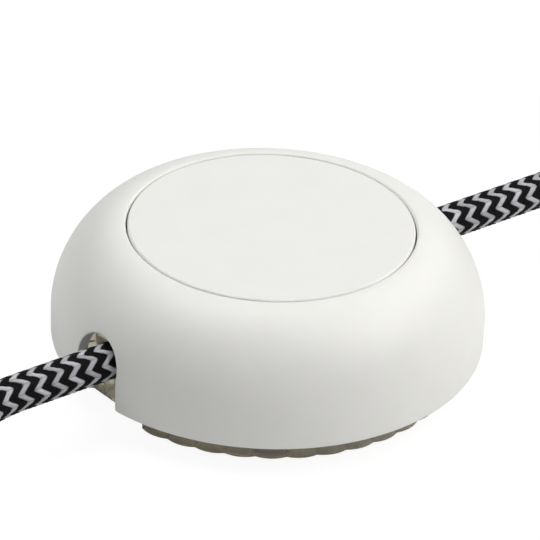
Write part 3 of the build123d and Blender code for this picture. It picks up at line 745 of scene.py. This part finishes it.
def fuseTube():
    # soda glass, drawn as a tube: clear with bright lines along it
    material, tree, surface = newMaterial("sodaGlassTube", {
        "Roughness": 0.05, "IOR": 1.52, "Transmission Weight": 0.8})
    grain(tree, surface, 1.0, 0.002, "cfd6d6", "e4eaea")
    return material


finish["smoked_base"] = smokedPolycarbonate()
finish["fuse_glass"] = fuseTube()


def braidedRayon():
    # rayon yarn, braided: flat bundles of fibre, one white beside two black, in columns that lean
    # left and right by turns. The eye sees rounded zigzags and fine lines along each bundle. The dark
    # groove round each bundle is painted shade, darker towards the yarn's sides and ends
    b = braid
    material, tree, surface = newMaterial("braidedRayon", {
        "Roughness": 0.75, "Specular IOR Level": 0.16, "Sheen Weight": 0.04, "Sheen Roughness": 0.4})
    place = add(tree, "ShaderNodeUVMap", {"uv_map": "braid"})
    axes = add(tree, "ShaderNodeSeparateXYZ", None, {"Vector": place.outputs["UV"]})
    column = add(tree, "ShaderNodeMath", {"operation": "MULTIPLY", 1: b["columns"]}, {0: axes.outputs["X"]})
    sharp = add(tree, "ShaderNodeMath", {"operation": "PINGPONG", 1: 1.0}, {0: column.outputs[0]})
    turned = add(tree, "ShaderNodeMath", {"operation": "MULTIPLY", 1: math.pi}, {0: sharp.outputs[0]})
    wave = add(tree, "ShaderNodeMath", {"operation": "COSINE"}, {0: turned.outputs[0]})
    soft = add(tree, "ShaderNodeMath", {"operation": "MULTIPLY_ADD", 1: -0.5, 2: 0.5}, {0: wave.outputs[0]})
    lean = add(tree, "ShaderNodeMix", {"Factor": b["rounding"]},
               {"A": sharp.outputs[0], "B": soft.outputs[0]})
    repeats = add(tree, "ShaderNodeMath", {"operation": "MULTIPLY_ADD", 1: b["slant"]},
                  {0: socketOf(lean, "Result", out=True), 2: axes.outputs["Y"]})
    number = add(tree, "ShaderNodeMath", {"operation": "FLOOR"}, {0: repeats.outputs[0]})
    within = add(tree, "ShaderNodeMath", {"operation": "FRACT"}, {0: repeats.outputs[0]})
    isWhite = add(tree, "ShaderNodeMath", {"operation": "LESS_THAN", 1: b["whiteShare"]},
                  {0: within.outputs[0]})
    whitePlace = add(tree, "ShaderNodeMath", {"operation": "DIVIDE", 1: b["whiteShare"]},
                     {0: within.outputs[0]})
    blackPlace = add(tree, "ShaderNodeMapRange", {
        "From Min": b["whiteShare"], "From Max": 1.0, "To Min": 1.0, "To Max": 3.0},
        {"Value": within.outputs[0]})
    yarn = add(tree, "ShaderNodeMix", None, {
        "Factor": isWhite.outputs[0], "A": blackPlace.outputs[0], "B": whitePlace.outputs[0]})
    yarnPlace = socketOf(yarn, "Result", out=True)
    yarnNumber = add(tree, "ShaderNodeMath", {"operation": "FLOOR"}, {0: yarnPlace})
    acrossYarn = add(tree, "ShaderNodeMath", {"operation": "FRACT"}, {0: yarnPlace})
    columnNumber = add(tree, "ShaderNodeMath", {"operation": "FLOOR"}, {0: column.outputs[0]})
    alongYarn = add(tree, "ShaderNodeMath", {"operation": "FRACT"}, {0: column.outputs[0]})
    whole = add(tree, "ShaderNodeMath", {"operation": "MULTIPLY_ADD", 1: 3.0},
                {0: number.outputs[0], 2: yarnNumber.outputs[0]})
    bundle = add(tree, "ShaderNodeCombineXYZ", None, {"X": whole.outputs[0], "Y": columnNumber.outputs[0]})
    tone = add(tree, "ShaderNodeTexWhiteNoise", {"noise_dimensions": "2D"}, {"Vector": bundle.outputs[0]})
    fibrePlace = add(tree, "ShaderNodeCombineXYZ", None, {
        "X": yarnPlace, "Y": alongYarn.outputs[0], "Z": whole.outputs[0]})
    stretched = add(tree, "ShaderNodeVectorMath", {"operation": "MULTIPLY", 1: b["fibreStretch"]},
                    {0: fibrePlace.outputs[0]})
    fibre = add(tree, "ShaderNodeTexNoise", {"Scale": 1.0, "Detail": 3.0, "Roughness": 0.65},
                {"Vector": stretched.outputs[0]})
    fromSide = add(tree, "ShaderNodeMath", {"operation": "PINGPONG", 1: 0.5}, {0: acrossYarn.outputs[0]})
    fromEnd = add(tree, "ShaderNodeMath", {"operation": "PINGPONG", 1: 0.5}, {0: alongYarn.outputs[0]})
    # painted shade in the grooves: darker towards each yarn's sides and ends; the same mask also gives the
    # bump its height
    sides = add(tree, "ShaderNodeMapRange", b["sideShade"], {"Value": fromSide.outputs[0]})
    ends = add(tree, "ShaderNodeMapRange", b["endShade"], {"Value": fromEnd.outputs[0]})
    grooveShadeAndHeight = add(tree, "ShaderNodeMath", {"operation": "MULTIPLY"},
                 {0: sides.outputs[0], 1: ends.outputs[0]})
    white = add(tree, "ShaderNodeMix", {"data_type": "RGBA"}, {"Factor": fibre.outputs["Fac"]})
    socketOf(white, "A").default_value = linear(b["white"][0])
    socketOf(white, "B").default_value = linear(b["white"][1])
    black = add(tree, "ShaderNodeMix", {"data_type": "RGBA"}, {"Factor": fibre.outputs["Fac"]})
    socketOf(black, "A").default_value = linear(b["black"][0])
    socketOf(black, "B").default_value = linear(b["black"][1])
    cover = add(tree, "ShaderNodeMix", {"data_type": "RGBA"}, {
        "Factor": isWhite.outputs[0],
        "A": socketOf(black, "Result", out=True), "B": socketOf(white, "Result", out=True)})
    toned = add(tree, "ShaderNodeMapRange", b["toneShade"], {"Value": tone.outputs["Value"]})
    # painted groove shade times a random tone for each bundle
    shade = add(tree, "ShaderNodeMath", {"operation": "MULTIPLY"},
                {0: grooveShadeAndHeight.outputs[0], 1: toned.outputs[0]})
    final = add(tree, "ShaderNodeMix", {"data_type": "RGBA", "blend_type": "MULTIPLY", "Factor": 1.0}, {
        "A": socketOf(cover, "Result", out=True), "B": shade.outputs[0]})
    height = add(tree, "ShaderNodeMath", {"operation": "MULTIPLY_ADD", 1: b["fibreLift"]},
                 {0: fibre.outputs["Fac"], 2: grooveShadeAndHeight.outputs[0]})
    bump = add(tree, "ShaderNodeBump", {"Strength": b["bumpStrength"], "Distance": b["fibreBump"] * mm},
               {"Height": height.outputs[0]})
    tree.links.new(socketOf(final, "Result", out=True), surface.inputs["Base Color"])
    tree.links.new(bump.outputs["Normal"], surface.inputs["Normal"])
    return material


finish["braided_textile"] = braidedRayon()

for piece in (mainsCord, lampCord, upperShell, basePlate, springCoils):
    piece.data.materials.clear()
    piece.data.materials.append(finish[piece["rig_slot"]])
for entry in frame["record"]["subparts"]:
    node = nodes[entry["node"]]
    for place in node.material_slots:
        place.material = finish[entry["material_slot"]]
print("materials", len(finish))

# Floor, backdrop and light
stageSettings = {
    "size": 6.0,                   # m across
    "whiteShare": 0.86,            # how much of the floor's look is plain white, the rest shows the shadow
    "whiteStrength": 1.08,
    "worldStrength": 0.06,
    "floorZ": -0.2,                # mm, just under the feet
}
lampDistance = 1.2                 # m from the object
lampSize = 0.8
lampSettings = {                   # turn from +X and rise above the floor in degrees
    "windowKey": {"turn": 306, "rise": 45, "watts": 8.5, "colour": "fffefc"},
    "ceilingSoftbox": {"turn": 120, "rise": 72, "watts": 6.3, "colour": "ffffff"},
    "sideFill": {"turn": 0, "rise": 40, "watts": 3.0, "colour": "fffefa"},
    "backFill": {"turn": 138, "rise": 36, "watts": 2.0, "colour": "ffffff"},
}


def softLight(name, s):
    turn, rise = math.radians(s["turn"]), math.radians(s["rise"])
    away = Vector((math.cos(turn) * math.cos(rise), math.sin(turn) * math.cos(rise), math.sin(rise)))
    light = bpy.data.lights.new(name, "AREA")
    light.shape = "RECTANGLE"
    light.size = light.size_y = lampSize
    light.energy = s["watts"]
    light.color = linear(s["colour"])[:3]
    obj = newObject(name, light)
    obj.location = away * lampDistance
    obj.rotation_mode = "QUATERNION"
    obj.rotation_quaternion = (-away).to_track_quat("-Z", "Y")


def buildStage(s):
    # matt white paper sweep: white to the camera, with the soft shadow kept in part
    half = s["size"] / 2
    corners = [(-half, -half, 0), (half, -half, 0), (half, half, 0), (-half, half, 0)]
    floor = meshObject("floor", corners, [(0, 1, 2, 3)])
    floor.location.z = s["floorZ"] * mm
    material = bpy.data.materials.new("paperSweep")
    material.use_nodes = True
    tree = material.node_tree
    tree.nodes.clear()
    diffuse = add(tree, "ShaderNodeBsdfDiffuse", {"Color": linear("f0f0f0")})
    glow = add(tree, "ShaderNodeEmission", {"Color": (1, 1, 1, 1), "Strength": s["whiteStrength"]})
    path = add(tree, "ShaderNodeLightPath")
    seen = add(tree, "ShaderNodeMath", {"operation": "MAXIMUM"},
               {0: path.outputs["Is Camera Ray"], 1: path.outputs["Is Transmission Ray"]})
    share = add(tree, "ShaderNodeMath", {"operation": "MULTIPLY", 1: s["whiteShare"]}, {0: seen.outputs[0]})
    mixed = add(tree, "ShaderNodeMixShader", None,
                {0: share.outputs[0], 1: diffuse.outputs[0], 2: glow.outputs[0]})
    add(tree, "ShaderNodeOutputMaterial", None, {"Surface": mixed.outputs[0]})
    floor.data.materials.append(material)

    world = bpy.data.worlds.new("studio")
    world.use_nodes = True
    scene.world = world
    tree = world.node_tree
    tree.nodes.clear()
    soft = add(tree, "ShaderNodeBackground", {"Color": linear("f4f5f7"), "Strength": s["worldStrength"]})
    seenBack = add(tree, "ShaderNodeBackground", {"Color": (1, 1, 1, 1), "Strength": 1.0})
    path = add(tree, "ShaderNodeLightPath")
    seen = add(tree, "ShaderNodeMath", {"operation": "MAXIMUM"},
               {0: path.outputs["Is Camera Ray"], 1: path.outputs["Is Transmission Ray"]})
    mixed = add(tree, "ShaderNodeMixShader", None,
                {0: seen.outputs[0], 1: soft.outputs[0], 2: seenBack.outputs[0]})
    add(tree, "ShaderNodeOutputWorld", None, {"Surface": mixed.outputs[0]})


buildStage(stageSettings)
for name, lamp in lampSettings.items():
    softLight(name, lamp)
scene.view_settings.view_transform = "Standard"
print("stage and lights")
